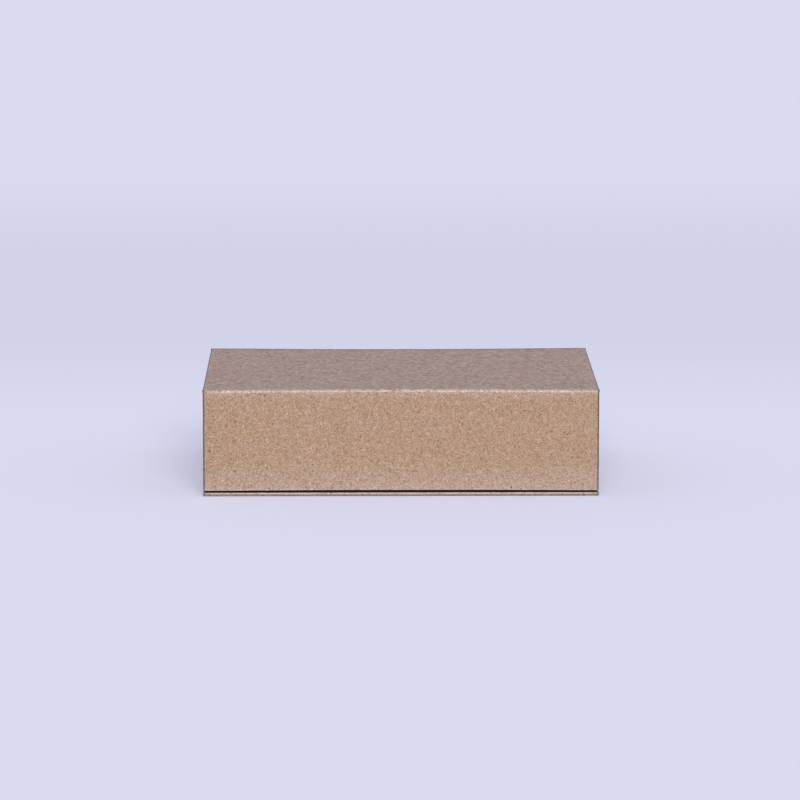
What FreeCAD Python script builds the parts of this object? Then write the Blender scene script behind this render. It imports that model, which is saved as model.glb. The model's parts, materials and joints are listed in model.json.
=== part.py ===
import FreeCAD, Part
import math
import os

# Kraft-covered rigid presentation box of the book style, in millimetres.
# Four greyboard panels, the base, spine, lid and front flap, share one cover of kraft
# paper, which also makes the folds between them. A tray of greyboard stands on the base
# and is glued to it and to the spine. The lid turns on the fold behind the tray, and the
# flap on the fold along the lid's front edge. Magnets hold the flap to the tray's front.
# X runs along the width, Y from the front to the back, and Z up. The origin lies on the
# table, under the middle of the closed box.

# Clear space in the tray
inner_width = 200.0
inner_depth = 140.0
inner_height = 50.0

# Thickness of the sheet stock
case_board = 1.5
tray_board = 1.5
cover_paper = 0.2
tray_paper = 0.2
lining_paper = 0.2
stay_tape = 0.1

# How round the cut corners of the boards are
corner_round = 0.3

# Cover: its turned-in margins, and how far the case stands out past the tray and flap
side_overhang = 0.8
front_lip = 0.3
turn_in = 15.0
mitre_gap = 0.4
fold_puff = 0.3

# Lining paper: its margin inside the free edges, and its strip over each fold
lining_inset = 2.0
hinge_strip = 8.0

# Tray: tape round each corner, and wrapping paper turned under the floor
stay_leg = 12.0
turn_under = 15.0

# Closing magnets
magnet_diameter = 12.0
magnet_thickness = 1.0
magnet_spacing = 110.0
magnet_rise = 24.0

# Clearances
tray_front_gap = 0.3
flap_foot_gap = 1.0
pocket_clearance = 0.1

# Layers of the case. Turned-in cover paper and lining lie on the inner face of a panel
cover_face = case_board + cover_paper
inner_layers = cover_paper + lining_paper

# Heights
base_fold_z = cover_face
tray_foot = base_fold_z + cover_paper
floor_bottom = tray_foot + tray_paper
floor_top = floor_bottom + tray_board
liner_top = floor_top + lining_paper
rim = liner_top + inner_height
wall_top = rim - tray_paper
lid_fold_z = rim + inner_layers
flap_foot = tray_foot + flap_foot_gap

# Widths and depths. The wall's tape is only at the corners, so they are the widest
wall_inner_x = inner_width / 2 + tray_paper
wall_outer_x = wall_inner_x + tray_board
tray_half_width = wall_outer_x + stay_tape + tray_paper
case_half_width = tray_half_width + side_overhang
panel_half_width = case_half_width - cover_paper
wall_inner_y = inner_depth / 2 + tray_paper
wall_outer_y = wall_inner_y + tray_board
tray_half_depth = wall_outer_y + stay_tape + tray_paper

# Places along Y, with the closed case centred on the origin
lid_length = inner_layers + 2 * tray_half_depth + tray_front_gap + inner_layers
case_depth = cover_face + lid_length + cover_face + front_lip
back_fold_y = case_depth / 2 - cover_face
front_fold_y = back_fold_y - lid_length
tray_centre_y = back_fold_y - inner_layers - tray_half_depth
base_length = lid_length + case_board + front_lip
spine_length = lid_fold_z - base_fold_z
flap_length = lid_fold_z - flap_foot - cover_paper

# A fold turns about the point that keeps the length of its paper, here measured from the
# inner corner of the closed fold
fold_reach = math.pi / 4 * (case_board + cover_paper / 2)

# How far a cutting solid runs past what it cuts
past = 1.0


def vector(x, y, z):
    return FreeCAD.Vector(x, y, z)


def block(x_range, y_range, z_range):
    """A box between two values on each axis."""
    low, high = zip(x_range, y_range, z_range)
    return Part.makeBox(*(b - a for a, b in zip(low, high)), vector(*low))


def both_sides(half):
    return (-half, half)


def prism(half_width, outline):
    """A closed outline of (y, z) points, stretched along X to both sides."""
    points = [vector(-half_width, y, z) for y, z in outline + outline[:1]]
    face = Part.Face(Part.makePolygon(points))
    return face.extrude(vector(2 * half_width, 0, 0))


def near(a, b):
    return abs(a - b) < 1e-6


def upright(a, b):
    return near(a.x, b.x) and near(a.y, b.y)


def level(a, b):
    return near(a.z, b.z)


def rounded(solid, radius, chosen):
    """The solid with a fillet on each edge that the test picks by its two ends."""
    picked = [e for e in solid.Edges if chosen(e.Vertexes[0].Point, e.Vertexes[-1].Point)]
    return solid.makeFillet(radius, picked) if picked else solid


class Panel:
    """One board of the case, drawn flat: Y runs along the case, from the base to the flap,
    and Z = 0 is the inner face. A free end has cover paper turned in over it. The other
    ends meet the next panel at a fold. place() stands a drawn shape up in the closed box.
    """

    def __init__(self, length, start_y, start_z, quarter_turns, free_start=False, free_end=False):
        self.length = length
        self.free_start = free_start
        self.free_end = free_end
        turn = FreeCAD.Rotation(vector(1, 0, 0), 90 * quarter_turns)
        self.placement = FreeCAD.Placement(vector(0, start_y, start_z), turn)

    def place(self, shape):
        placed = shape.copy()
        placed.Placement = self.placement.multiply(shape.Placement)
        return placed

    def along(self, margin, beyond=0.0):
        """The stretch of Y that is a margin inside the free ends and a bit beyond the folds."""
        start = margin if self.free_start else -beyond
        end = self.length - margin if self.free_end else self.length + beyond
        return (start, end)

    def window(self, margin, z_range):
        """The part of the inner face that the turned-in cover leaves bare."""
        x_range = both_sides(panel_half_width - turn_in - margin)
        return block(x_range, self.along(turn_in + margin, past), z_range)

    def mitred(self, shape):
        """The shape with its inner layers cut at 45 degrees where a fold closes on them."""
        start, end = self.along(-case_board)
        lean_in = 0 if self.free_start else inner_layers
        lean_out = 0 if self.free_end else inner_layers
        outline = [
            (start, -2 * cover_face),
            (end, -2 * cover_face),
            (end, 0),
            (end - lean_out, inner_layers),
            (start + lean_in, inner_layers),
            (start, 0),
        ]
        return shape.common(prism(2 * case_half_width, outline))


base = Panel(base_length, back_fold_y - base_length, base_fold_z, 0, free_start=True)
spine = Panel(spine_length, back_fold_y, base_fold_z, 1)
lid = Panel(lid_length, back_fold_y, lid_fold_z, 2)
flap = Panel(flap_length, front_fold_y, lid_fold_z, 3, free_end=True)


def panel_block(panel, grow, z_range):
    """A box over a panel, grown past its edges except at the folds, with the corners of its
    free end rounded."""
    start, end = panel.along(-grow)
    free = [y for y, is_free in ((start, panel.free_start), (end, panel.free_end)) if is_free]
    return rounded(
        block(both_sides(panel_half_width + grow), (start, end), z_range),
        corner_round + grow,
        lambda a, b: upright(a, b) and any(near(a.y, y) for y in free),
    )


def case_board_of(panel):
    """Greyboard of a panel, drawn flat."""
    return panel_block(panel, 0, (-case_board, 0))


def mitre_slits(panel):
    """Slits between the side and end turn-ins, at the corners of a free end. The paper is
    whole for a board's thickness round the corner itself."""
    reach = (case_board * math.sqrt(2), turn_in * math.sqrt(2) + mitre_gap)
    slits = []
    for free, end_y, inward in (
        (panel.free_start, 0, 1),
        (panel.free_end, panel.length, -1),
    ):
        for side in (-1, 1) if free else ():
            slit = block(reach, both_sides(mitre_gap / 2), (0, 2 * cover_paper))
            angle = math.degrees(math.atan2(inward, -side))
            slit.rotate(vector(0, 0, 0), vector(0, 0, 1), angle)
            slit.translate(vector(side * panel_half_width, end_y, 0))
            slits.append(slit)
    return slits


def cover_sheet(panel):
    """Cover paper of a panel: its outer face, and the margins turned over its edges.

    The paper bends round the board's square edges, so its outer edges are as round as it
    is thick.
    """
    start, end = panel.along(-cover_paper)
    folds = [y for y, free in ((start, panel.free_start), (end, panel.free_end)) if not free]
    sheet = rounded(
        panel_block(panel, cover_paper, (-cover_face, cover_paper)),
        cover_paper,
        lambda a, b: level(a, b) and not any(near(a.y, y) and near(b.y, y) for y in folds),
    )
    sheet = sheet.cut([case_board_of(panel), panel.window(0, (0, cover_face))])
    for slit in mitre_slits(panel):
        sheet = sheet.cut(slit)
    return panel.place(panel.mitred(sheet))


def quarter_sheet(inner_radius, thickness, x_range):
    """A quarter of a tube about X, bent from straight below the axis to level behind it."""
    near, far = -inner_radius, -inner_radius - thickness
    left, right = x_range
    corners = [(left, near), (right, near), (right, far), (left, far), (left, near)]
    strip = Part.Face(Part.makePolygon([vector(x, 0, z) for x, z in corners]))
    return strip.revolve(vector(0, 0, 0), vector(1, 0, 0), 90)


def fold_cover(panel):
    """Cover paper round the fold at a panel's far end. Its ends are turned in double, and
    with no board inside they puff out past the panels."""
    half = case_half_width + fold_puff
    sheet = quarter_sheet(case_board, cover_paper, both_sides(half))
    doubled = case_board - cover_paper
    for x_range in ((-half, turn_in - half), (half - turn_in, half)):
        sheet = sheet.fuse(quarter_sheet(doubled, cover_paper, x_range))
    sheet.translate(vector(0, panel.length, 0))
    return panel.place(sheet.removeSplitter())


def lining_sheet(panel, start, end):
    """Lining paper over a stretch of a panel. It lies on the board in the middle, and
    climbs onto the turned-in cover round it."""
    x_range = both_sides(panel_half_width - lining_inset)
    over_turn_in = block(x_range, (start, end), (cover_paper, inner_layers))
    stretch = block(x_range, (start, end), (0, inner_layers))
    on_board = panel.window(0, (0, inner_layers)).common(stretch)
    dip = panel.window(lining_paper, (lining_paper, inner_layers + past))
    sheet = over_turn_in.fuse(on_board).cut(dip)
    return panel.place(panel.mitred(sheet.removeSplitter()))


def hinge_lining(panel, next_panel):
    """Lining strip over the inner corner of a fold that moves."""
    leg = lining_sheet(panel, panel.length - hinge_strip, panel.length)
    next_leg = lining_sheet(next_panel, 0, hinge_strip)
    return leg.fuse(next_leg).removeSplitter()


def magnet_discs(diameter, thickness, face_y, into):
    """A pair of discs that start at a face and go in along Y, left and right of centre."""
    height = flap_foot + magnet_rise
    return [
        Part.makeCylinder(diameter / 2, thickness, vector(x, face_y, height), vector(0, into, 0))
        for x in both_sides(magnet_spacing / 2)
    ]


def magnet_pockets(face_y, into):
    return magnet_discs(magnet_diameter + 2 * pocket_clearance, magnet_thickness, face_y, into)


def tray_block(half_x, half_y, z_range, corner=0.0):
    """A box centred on the tray, with its upright corners rounded."""
    y_range = [tray_centre_y + y for y in both_sides(half_y)]
    solid = block(both_sides(half_x), y_range, z_range)
    return rounded(solid, corner, upright) if corner else solid


def tray_walls():
    """Front and back walls as wide as the floor, and side walls between them."""
    height = (floor_top, wall_top)
    ring = tray_block(wall_outer_x, wall_outer_y, height, corner_round)
    ring = ring.cut(tray_block(wall_inner_x, wall_inner_y, height))
    behind = tray_block(wall_outer_x, wall_inner_y, height)
    behind.translate(vector(0, 2 * wall_inner_y, 0))
    ahead = tray_block(wall_outer_x, wall_inner_y, height)
    ahead.translate(vector(0, -2 * wall_inner_y, 0))
    walls = {"tray_front_wall": ring.common(ahead), "tray_back_wall": ring.common(behind)}
    sides = ring.cut([ahead, behind])
    for side, solid in zip(("left", "right"), sorted(sides.Solids, key=lambda w: w.CenterOfMass.x)):
        walls[f"tray_{side}_wall"] = solid
    return walls


def corner_block(side_x, side_y, grow, z_range, top_round=0.0):
    """A block over one upright corner of the tray, from the ends of the stay's legs to the
    rounded corner itself, grown outwards. Its outer top edges may be rounded too."""
    edge_x = side_x * (wall_outer_x + grow)
    edge_y = tray_centre_y + side_y * (wall_outer_y + grow)
    inner_x = side_x * (wall_outer_x - stay_leg)
    inner_y = tray_centre_y + side_y * (wall_outer_y - stay_leg)
    top = z_range[1]
    solid = rounded(
        block(sorted((inner_x, edge_x)), sorted((inner_y, edge_y)), z_range),
        corner_round + grow,
        lambda a, b: upright(a, b) and near(a.x, edge_x) and near(a.y, edge_y),
    )
    if not top_round:
        return solid
    return rounded(
        solid,
        top_round,
        lambda a, b: near(a.z, top)
        and near(b.z, top)
        and not (near(a.x, inner_x) and near(b.x, inner_x))
        and not (near(a.y, inner_y) and near(b.y, inner_y)),
    )


def corner_stay(side_x, side_y):
    """Paper tape bent round one upright corner of the tray."""
    height = (floor_top, wall_top)
    carcass = tray_block(wall_outer_x, wall_outer_y, height, corner_round)
    return corner_block(side_x, side_y, stay_tape, height).cut(carcass)


def tray_wrap(carcass):
    """One sheet over the tray: turned under the floor, up the outside, over the rim and
    down the inside to the floor. It follows the step of the tape at each corner."""
    height = (tray_foot, rim)
    grow = tray_paper
    sheet = tray_block(wall_outer_x + grow, wall_outer_y + grow, height, corner_round + grow)
    sheet = rounded(sheet, tray_paper, lambda a, b: near(a.z, rim) and near(b.z, rim))
    for side_x in (-1, 1):
        for side_y in (-1, 1):
            over_stay = stay_tape + tray_paper
            sheet = sheet.fuse(corner_block(side_x, side_y, over_stay, height, tray_paper))
    inside = tray_block(inner_width / 2, inner_depth / 2, (floor_top, rim + past))
    sheet = sheet.cut(inside).removeSplitter()
    sheet = rounded(
        sheet,
        tray_paper,
        lambda a, b: near(a.z, rim)
        and near(b.z, rim)
        and all(abs(p.x) < wall_inner_x for p in (a, b))
        and all(abs(p.y - tray_centre_y) < wall_inner_y for p in (a, b)),
    )
    under = tray_block(
        wall_outer_x - turn_under, wall_outer_y - turn_under, (tray_foot - past, floor_bottom)
    )
    return sheet.cut([*carcass, under])


def build():
    """Every piece of the closed box, by name."""
    nodes = {
        "base_board": base.place(case_board_of(base)),
        "spine_board": spine.place(case_board_of(spine)),
        "lid_board": lid.place(case_board_of(lid)),
        "flap_board": flap.place(case_board_of(flap)).cut(magnet_pockets(front_fold_y, -1)),
        "base_wrap": cover_sheet(base).fuse(fold_cover(base)).removeSplitter(),
        "spine_wrap": cover_sheet(spine),
        "lid_wrap": cover_sheet(lid),
        "flap_wrap": cover_sheet(flap),
        "lid_hinge_wrap": fold_cover(spine),
        "flap_hinge_wrap": fold_cover(lid),
        "spine_lining": lining_sheet(spine, 0, spine_length - hinge_strip),
        "lid_lining": lining_sheet(lid, hinge_strip, lid_length - hinge_strip),
        "flap_lining": lining_sheet(flap, hinge_strip, flap_length - lining_inset),
        "lid_hinge_lining": hinge_lining(spine, lid),
        "flap_hinge_lining": hinge_lining(lid, flap),
    }

    floor = tray_block(wall_outer_x, wall_outer_y, (floor_bottom, floor_top), corner_round)
    tray = {"tray_floor_board": floor, **tray_walls()}
    wall_face_y = tray_centre_y - wall_outer_y
    tray["tray_front_wall"] = tray["tray_front_wall"].cut(magnet_pockets(wall_face_y, 1))
    for side_y, end in ((-1, "front"), (1, "back")):
        for side_x, side in ((-1, "left"), (1, "right")):
            tray[f"corner_stay_{end}_{side}"] = corner_stay(side_x, side_y)

    flap_magnets = magnet_discs(magnet_diameter, magnet_thickness, front_fold_y, -1)
    wall_magnets = magnet_discs(magnet_diameter, magnet_thickness, wall_face_y, 1)
    for side, in_flap, in_wall in zip(("left", "right"), flap_magnets, wall_magnets):
        nodes[f"flap_magnet_{side}"] = in_flap
        tray[f"tray_magnet_{side}"] = in_wall

    nodes["tray_wrap"] = tray_wrap([*tray.values(), *magnet_pockets(wall_face_y, 1)])
    nodes["tray_floor_liner"] = tray_block(
        inner_width / 2, inner_depth / 2, (floor_top, liner_top)
    )
    return {**nodes, **tray}


nodes = build()
os.makedirs("parts", exist_ok=True)
for name, shape in nodes.items():
    shape.exportStep(f"parts/{name}.step")
    print(f"{name}: {len(shape.Solids)} solid, {shape.Volume:.1f} mm3, valid {shape.isValid()}")
print(f"{len(nodes)} pieces")
print(f"lid hinge: y {back_fold_y + fold_reach:.4f} z {lid_fold_z + fold_reach:.4f}")
print(f"flap hinge: y {front_fold_y - fold_reach:.4f} z {lid_fold_z + fold_reach:.4f}")
print(f"tray: y {tray_centre_y:.4f}, floor {liner_top:.4f}, rim {rim:.4f}")
print(f"case: width {2 * case_half_width:.3f} depth {case_depth:.3f} height {lid_fold_z + cover_face:.3f}")
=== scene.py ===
import json
import math

import bmesh
import bpy
from bpy.props import FloatProperty, FloatVectorProperty, IntProperty, PointerProperty
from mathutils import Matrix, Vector

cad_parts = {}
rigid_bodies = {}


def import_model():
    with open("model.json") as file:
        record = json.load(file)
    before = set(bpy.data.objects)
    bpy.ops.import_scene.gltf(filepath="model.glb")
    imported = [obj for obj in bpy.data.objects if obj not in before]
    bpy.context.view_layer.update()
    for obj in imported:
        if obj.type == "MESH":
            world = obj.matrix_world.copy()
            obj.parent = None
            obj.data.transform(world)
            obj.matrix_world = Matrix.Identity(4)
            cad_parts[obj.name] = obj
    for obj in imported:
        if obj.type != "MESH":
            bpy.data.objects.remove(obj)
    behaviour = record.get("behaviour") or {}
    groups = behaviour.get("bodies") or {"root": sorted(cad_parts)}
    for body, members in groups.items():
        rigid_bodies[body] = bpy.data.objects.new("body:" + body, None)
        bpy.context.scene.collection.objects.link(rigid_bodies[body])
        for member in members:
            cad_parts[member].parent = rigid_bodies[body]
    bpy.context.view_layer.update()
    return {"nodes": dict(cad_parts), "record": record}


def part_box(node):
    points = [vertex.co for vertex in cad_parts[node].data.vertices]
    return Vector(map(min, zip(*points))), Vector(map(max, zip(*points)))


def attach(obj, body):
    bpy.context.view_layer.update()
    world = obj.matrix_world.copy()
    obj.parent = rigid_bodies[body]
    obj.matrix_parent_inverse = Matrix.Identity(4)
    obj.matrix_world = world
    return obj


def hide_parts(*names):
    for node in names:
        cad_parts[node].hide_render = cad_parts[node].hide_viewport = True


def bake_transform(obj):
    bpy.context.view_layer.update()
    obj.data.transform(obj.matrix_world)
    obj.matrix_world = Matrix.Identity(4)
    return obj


# The looks of a hinged presentation box: greyboard panels under kraft paper, made as soft
# sheets round the imported model. X runs along the width, Y from front to back and Z up, in
# metres. Each panel's cover rides on its own body, and the strips of paper over the two
# folds that move lie round the folds, on no body.

bl_info = {
    "name": "Kraft presentation box",
    "version": (1, 0, 0),
    "blender": (4, 5, 0),
    "location": "View3D > Sidebar > Kraft Box",
    "description": "Covers, linings, tray paper and studio for a hinged, paper-covered box",
    "category": "Object",
}

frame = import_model()

MM = 0.001
CLOSE = 0.01 * MM  # places nearer to each other than this are the same
DOUBLES = 0.004 * MM  # corners nearer than this are merged
ACROSS = 100 * MM  # only edges right across the box are longer
UPWARDS = 20 * MM  # only edges right up a panel, or across the box, are longer


class FrameSizes:
    """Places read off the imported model, in metres."""

    def __init__(self):
        lid_low, lid_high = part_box("lid_board")
        base_low, base_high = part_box("base_board")
        tray_low, tray_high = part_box("tray_wrap")
        self.back_fold_y = lid_high.y
        self.front_fold_y = lid_low.y
        self.lid_fold_z = lid_low.z
        self.base_fold_z = base_high.z
        self.paper = base_low.z
        self.cover_face = lid_high.z - lid_low.z + self.paper
        self.wrapped = self.cover_face + self.paper
        self.lid_top = self.lid_fold_z + self.cover_face
        self.flap_face = self.front_fold_y - self.cover_face
        self.half_width = lid_high.x + self.paper
        self.case_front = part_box("base_wrap")[0].y
        self.flap_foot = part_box("flap_board")[0].z - self.paper
        self.liner_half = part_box("lid_lining")[1].x
        self.hinge_strip = self.back_fold_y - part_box("lid_hinge_lining")[0].y
        self.flap_liner_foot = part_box("flap_lining")[0].z
        self.tray_low, self.tray_high = tray_low, tray_high
        self.floor_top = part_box("tray_floor_board")[1].z
        self.inside_low, self.inside_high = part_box("tray_floor_liner")
        stay_low, stay_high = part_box("corner_stay_front_right")
        wall_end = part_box("tray_front_wall")[1].x
        self.stay_leg = wall_end - stay_low.x
        self.stay_tape = stay_high.x - wall_end
        self.depth = 2 * (self.back_fold_y + self.cover_face)


size = FrameSizes()


def a_length(name, default, low, high, description):
    """A size of the box, given in millimetres."""
    return FloatProperty(
        name=name, default=default * MM, min=low * MM, max=high * MM, description=description,
        unit="LENGTH", precision=5,
    )


def a_count(name, default, low, high, description):
    return IntProperty(name=name, default=default, min=low, max=high, description=description)


def a_colour(name, default, description):
    return FloatVectorProperty(
        name=name, default=default, min=0.0, max=1.0, description=description, subtype="COLOR"
    )


def a_share(name, default, description, high=1.0):
    return FloatProperty(
        name=name, default=default, min=0.0, max=high, description=description, subtype="FACTOR"
    )


class BoxSizes(bpy.types.PropertyGroup):
    edge_round: a_length("Edge rounding", 0.3, 0.22, 0.4, "Bend of the paper at a board's edge")
    base_round: a_length(
        "Base edge rounding", 1.1, 0.6, 1.2,
        "Radius of the base's worn lower front edge; the upper one has half of it",
    )
    turn_in: a_length("Turn-in", 15, 5, 25, "Margin of cover paper turned in over a board's edge")
    doubled: a_length(
        "Doubled fold end", 0.45, 0.4, 1.2,
        "Depth of the cover where its turned-in ends lie double in a fold",
    )
    fold_puff: a_length(
        "Fold puff", 0.3, 0.0, 0.3, "How far the ends of a fold stand out past the panels"
    )
    lid_sag: a_length(
        "Lid sag", 0.5, 0.0, 1.0, "How far the middle of the lid's rear edge lies below its ends"
    )
    flap_rise: a_length(
        "Flap rise", 0.37, 0.0, 0.8,
        "How far the front fold and the flap's foot lie higher in the middle than at the ends",
    )
    columns: a_count("Columns", 24, 8, 60, "Divisions of a panel along its width, for its bow")
    fold_steps: a_count("Fold steps", 14, 6, 32, "Steps of the paper round a fold")


class BoxColours(bpy.types.PropertyGroup):
    ochre: a_colour("Kraft, warm", (0.442, 0.280, 0.153), "The kraft paper's warmer patches")
    mauve: a_colour("Kraft, grey", (0.472, 0.310, 0.207), "Its paler, greyer patches")
    # Painted light: the pale tint the flap takes towards its foot
    faded: a_colour("Kraft, faded", (0.63, 0.575, 0.607), "What it fades to at the flap's foot")
    # Painted highlight: the pale colour of the highlights on folds and edges
    rubbed: a_colour("Kraft, rubbed", (0.80, 0.73, 0.70), "Where its edges are rubbed")
    speck: a_colour("Specks", (0.11, 0.05, 0.03), "Dark specks in the kraft paper")
    # Painted shade: the dark colour drawn deep in the slit under the flap
    glue: a_colour("Glue line", (0.08, 0.028, 0.013), "Glue and dust in the slit under the flap")
    board: a_colour("Greyboard", (0.27, 0.25, 0.22), "The boards under the paper")
    tape: a_colour("Corner tape", (0.62, 0.54, 0.42), "Paper tape round the tray's corners")
    surround: a_colour("Surround", (0.332, 0.278, 0.400), "What glossy faces mirror")
    floor: a_colour("Floor", (0.734, 0.675, 0.735), "The studio floor")
    backdrop: a_colour("Backdrop", (0.66, 0.70, 0.90), "What the camera sees past the floor")


# Settings of the paper: felt and glaze, and the strength of painted light and shade
class PaperWearAndLight(bpy.types.PropertyGroup):
    felt: a_share("Felt", 3.1, "Contrast of the felt of fibres in the kraft paper", 6.0)
    # Painted sheen: how much the top of the lid is mottled lighter and darker
    mottling: a_share("Mottling", 1.1, "How far the patches on top of the lid differ", 6.0)
    glaze: a_share("Glaze", 0.9, "Gloss of the paper's smooth patches")
    # Painted light from the floor: how far the flap pales towards its foot
    fading: a_share("Fading", 0.2, "How far the flap fades towards its foot")
    # Painted highlights along the front fold and the flap's foot edge
    fold_rub: a_share("Rubbed fold", 0.16, "How far the front fold is rubbed pale")
    hem_rub: a_share("Rubbed hem", 0.25, "How far the flap's lowest edge is rubbed pale")
    # Painted shade where the paper bends round a panel's side edges
    side_shade: a_share(
        "Side shade", 0.68, "How dark the paper is where it bends round a panel's side edges"
    )


# Shader nodes


class Signal:
    """One output of a shader node. Arithmetic on it adds Math nodes, and node() any other."""

    def __init__(self, tree, output):
        self.tree = tree
        self.output = output

    def node(self, kind, settings=None, inputs=None, output=0):
        made = self.tree.nodes.new("ShaderNode" + kind)
        for name, value in (settings or {}).items():
            setattr(made, name, value)
        for key, value in (inputs or {}).items():
            if isinstance(value, Signal):
                self.tree.links.new(value.output, made.inputs[key])
            else:
                made.inputs[key].default_value = value
        return Signal(self.tree, made.outputs[output])

    def math(self, operation, *values, clamp=False):
        settings = {"operation": operation, "use_clamp": clamp}
        return self.node("Math", settings, dict(enumerate(values)))

    def __add__(self, other):
        return self.math("ADD", self, other)

    def __radd__(self, other):
        return self.math("ADD", other, self)

    def __sub__(self, other):
        return self.math("SUBTRACT", self, other)

    def __rsub__(self, other):
        return self.math("SUBTRACT", other, self)

    def __mul__(self, other):
        return self.math("MULTIPLY", self, other)

    def __abs__(self):
        return self.math("ABSOLUTE", self)

    def fade(self, start, end):
        """0 before start, 1 after end, smooth between them. start may be the larger one."""
        low, high = min(start, end), max(start, end)
        settings = {"interpolation_type": "SMOOTHSTEP"}
        ends = {1: low, 2: high, 3: float(start > end), 4: float(start < end)}
        return self.node("MapRange", settings, {0: self, **ends})

    def other(self, name):
        """Another output of the same node."""
        return Signal(self.tree, self.output.node.outputs[name])

    def blend(self, colour_a, colour_b):
        """Colour a where this is 0, and colour b where it is 1."""
        inputs = {0: self, 6: rgba(colour_a), 7: rgba(colour_b)}
        return self.node("Mix", {"data_type": "RGBA"}, inputs, 2)

    def tinted(self, factor):
        """This colour times a number that varies."""
        return self.node("VectorMath", {"operation": "SCALE"}, {0: self, 3: factor})

    def times(self, other):
        """This colour times another."""
        return self.node("VectorMath", {"operation": "MULTIPLY"}, {0: self, 1: other})

    def stretched(self, by, add):
        """This times a vector, plus another."""
        return self.node("VectorMath", {"operation": "MULTIPLY_ADD"}, {0: self, 1: by, 2: add})

    def noise(self, per_mm, detail=2.0, roughness=0.5, distortion=0.0, output=0):
        inputs = {"Vector": self, "Scale": per_mm, "Detail": detail}
        inputs.update({"Roughness": roughness, "Distortion": distortion})
        return self.node("TexNoise", None, inputs, output)

    def relief(self, depth_mm, strength=1.0):
        """A surface normal that follows this as its height."""
        inputs = {"Strength": strength, "Distance": depth_mm * MM, "Height": self}
        return self.node("Bump", None, inputs)


def rgba(colour):
    """A colour that varies as it is, and a plain one with its alpha."""
    return colour if isinstance(colour, Signal) else (*colour, 1.0)


REST = "rest_place"  # attribute of each point of a piece that is made here


def plain_material(name):
    """A material, its shader, and the shader's output, from which nodes are added."""
    material = bpy.data.materials.new(name)
    material.use_nodes = True
    shader = material.node_tree.nodes["Principled BSDF"]
    return material, shader, Signal(material.node_tree, shader.outputs[0])


def new_material(name, on_nodes):
    """A material, its shader, and the place on the piece in millimetres. Pieces made here
    carry their place at rest, so that the pattern stays on a strip that bends."""
    material, shader, start = plain_material(name)
    if on_nodes:
        place = start.node("TexCoord", output="Object")
    else:
        place = start.node("Attribute", {"attribute_name": REST}, output="Vector")
    return material, shader, place.tinted(1 / MM)


def feed(shader, **links):
    """Sets the shader's sockets, or links what varies to them."""
    for name, value in links.items():
        socket = shader.inputs[name.replace("_", " ")]
        if isinstance(value, Signal):
            value.tree.links.new(value.output, socket)
        else:
            socket.default_value = value


FIBRE_TINT = (0.83, 1.0, 1.35)  # how far red, green and blue follow a fibre's tone
GRAIN = (1.0, 0.6, 1.0)  # the paper's patches run from front to back
FOLD_SMOOTHING = 0.85  # how far the lining is plain in a fold's corner
PALE_FIBRE, DARK_FIBRE, SPECK = 0.13, 0.32, 0.95  # how far these stand out from the felt
REAR_SHADE, TABLE_SHADE = 0.27, 0.4  # painted shade: how dark the lid's rear and the base's foot are


def fibres(place, drawn):
    """Felt of curled fibres, darker and paler ones that break off here and there, and a few
    specks in cells of 5 mm."""
    curled = place.noise(0.6, detail=1.0, output="Color").stretched((4.0, 4.0, 4.0), drawn)
    felt = curled.noise(1.6, detail=1.5, roughness=0.85)
    breaks = drawn.noise(0.9, detail=1.0)
    dark = abs(curled.noise(0.62, detail=1.0) - 0.5).fade(0.08, 0.02)
    pale = abs(curled.noise(0.70, detail=0.0) - 0.52).fade(0.08, 0.02)
    cells = place.node("TexVoronoi", {"feature": "F1"}, {"Vector": place, "Scale": 0.2})
    chance = cells.other("Color").node("SeparateColor", None, {0: cells.other("Color")})
    specks = cells.fade(0.12, 0.06) * chance.fade(0.72, 0.8)
    return felt, dark * breaks.fade(0.53, 0.62), pale * breaks.fade(0.50, 0.42), specks


def painted_highlights(x, y, z, front, top, blotches):
    """Where painted highlights pale the cover: along the front fold, on the base's upper front
    edge, at the foot and the head of the flap, and a painted sheen beside the lid's side edges."""
    wear_and_light = bpy.context.scene.paper_wear
    fold_z, foot, side = size.lid_fold_z / MM, size.flap_foot / MM, size.half_width / MM
    fold = fold_z - size.front_fold_y / MM
    base_top = size.wrapped / MM
    base_edge = base_top - size.case_front / MM
    # Painted highlight along the front fold, made blotchy by noise
    rubbed = (z - y).fade(fold + 1.75, fold + 2.25) * (blotches * 0.1 + wear_and_light.fold_rub)
    # Painted highlight on the base's upper front edge
    nose = (z - y).fade(base_edge - 0.8, base_edge - 0.55)
    rubbed = rubbed + nose * z.fade(base_top + 0.4, base_top + 0.2) * 0.08
    # Painted light along the flap's foot edge
    rubbed = rubbed + z.fade(foot + 1.0, foot + 0.2) * front * wear_and_light.hem_rub
    # Painted highlight spreading onto the flap just under the front fold
    rubbed = rubbed + z.fade(fold_z - 3.7, fold_z) * front * 0.1
    # Painted sheen beside the lid's side edges
    return rubbed + abs(x).fade(side - 3.3, side - 1.3) * top * 0.05


def painted_edge_shade(x, y, z, front, top):
    """Where painted shade darkens the cover: where it bends round a panel's side edges, along the
    lid's rear fold and at the foot of the base."""
    side, rear = size.half_width / MM, size.back_fold_y / MM
    base_top = size.wrapped / MM
    bend = (abs(x) + front * 0.45 + top * 0.2).fade(side - 0.7, side - 0.05)
    bend = bend * (1 - abs(x).fade(side - 0.1, side - 0.01) * 0.7)
    # Painted shade along the lid's rear fold
    along_rear = y.fade(rear - 6.7, rear - 2.2) * top * REAR_SHADE
    painted_darkening = x.math("MAXIMUM", bend * bpy.context.scene.paper_wear.side_shade, along_rear)
    # Painted shade at the foot of the base
    return x.math("MAXIMUM", painted_darkening, z.fade(base_top - 0.3, base_top - 1.0) * TABLE_SHADE)


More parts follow.
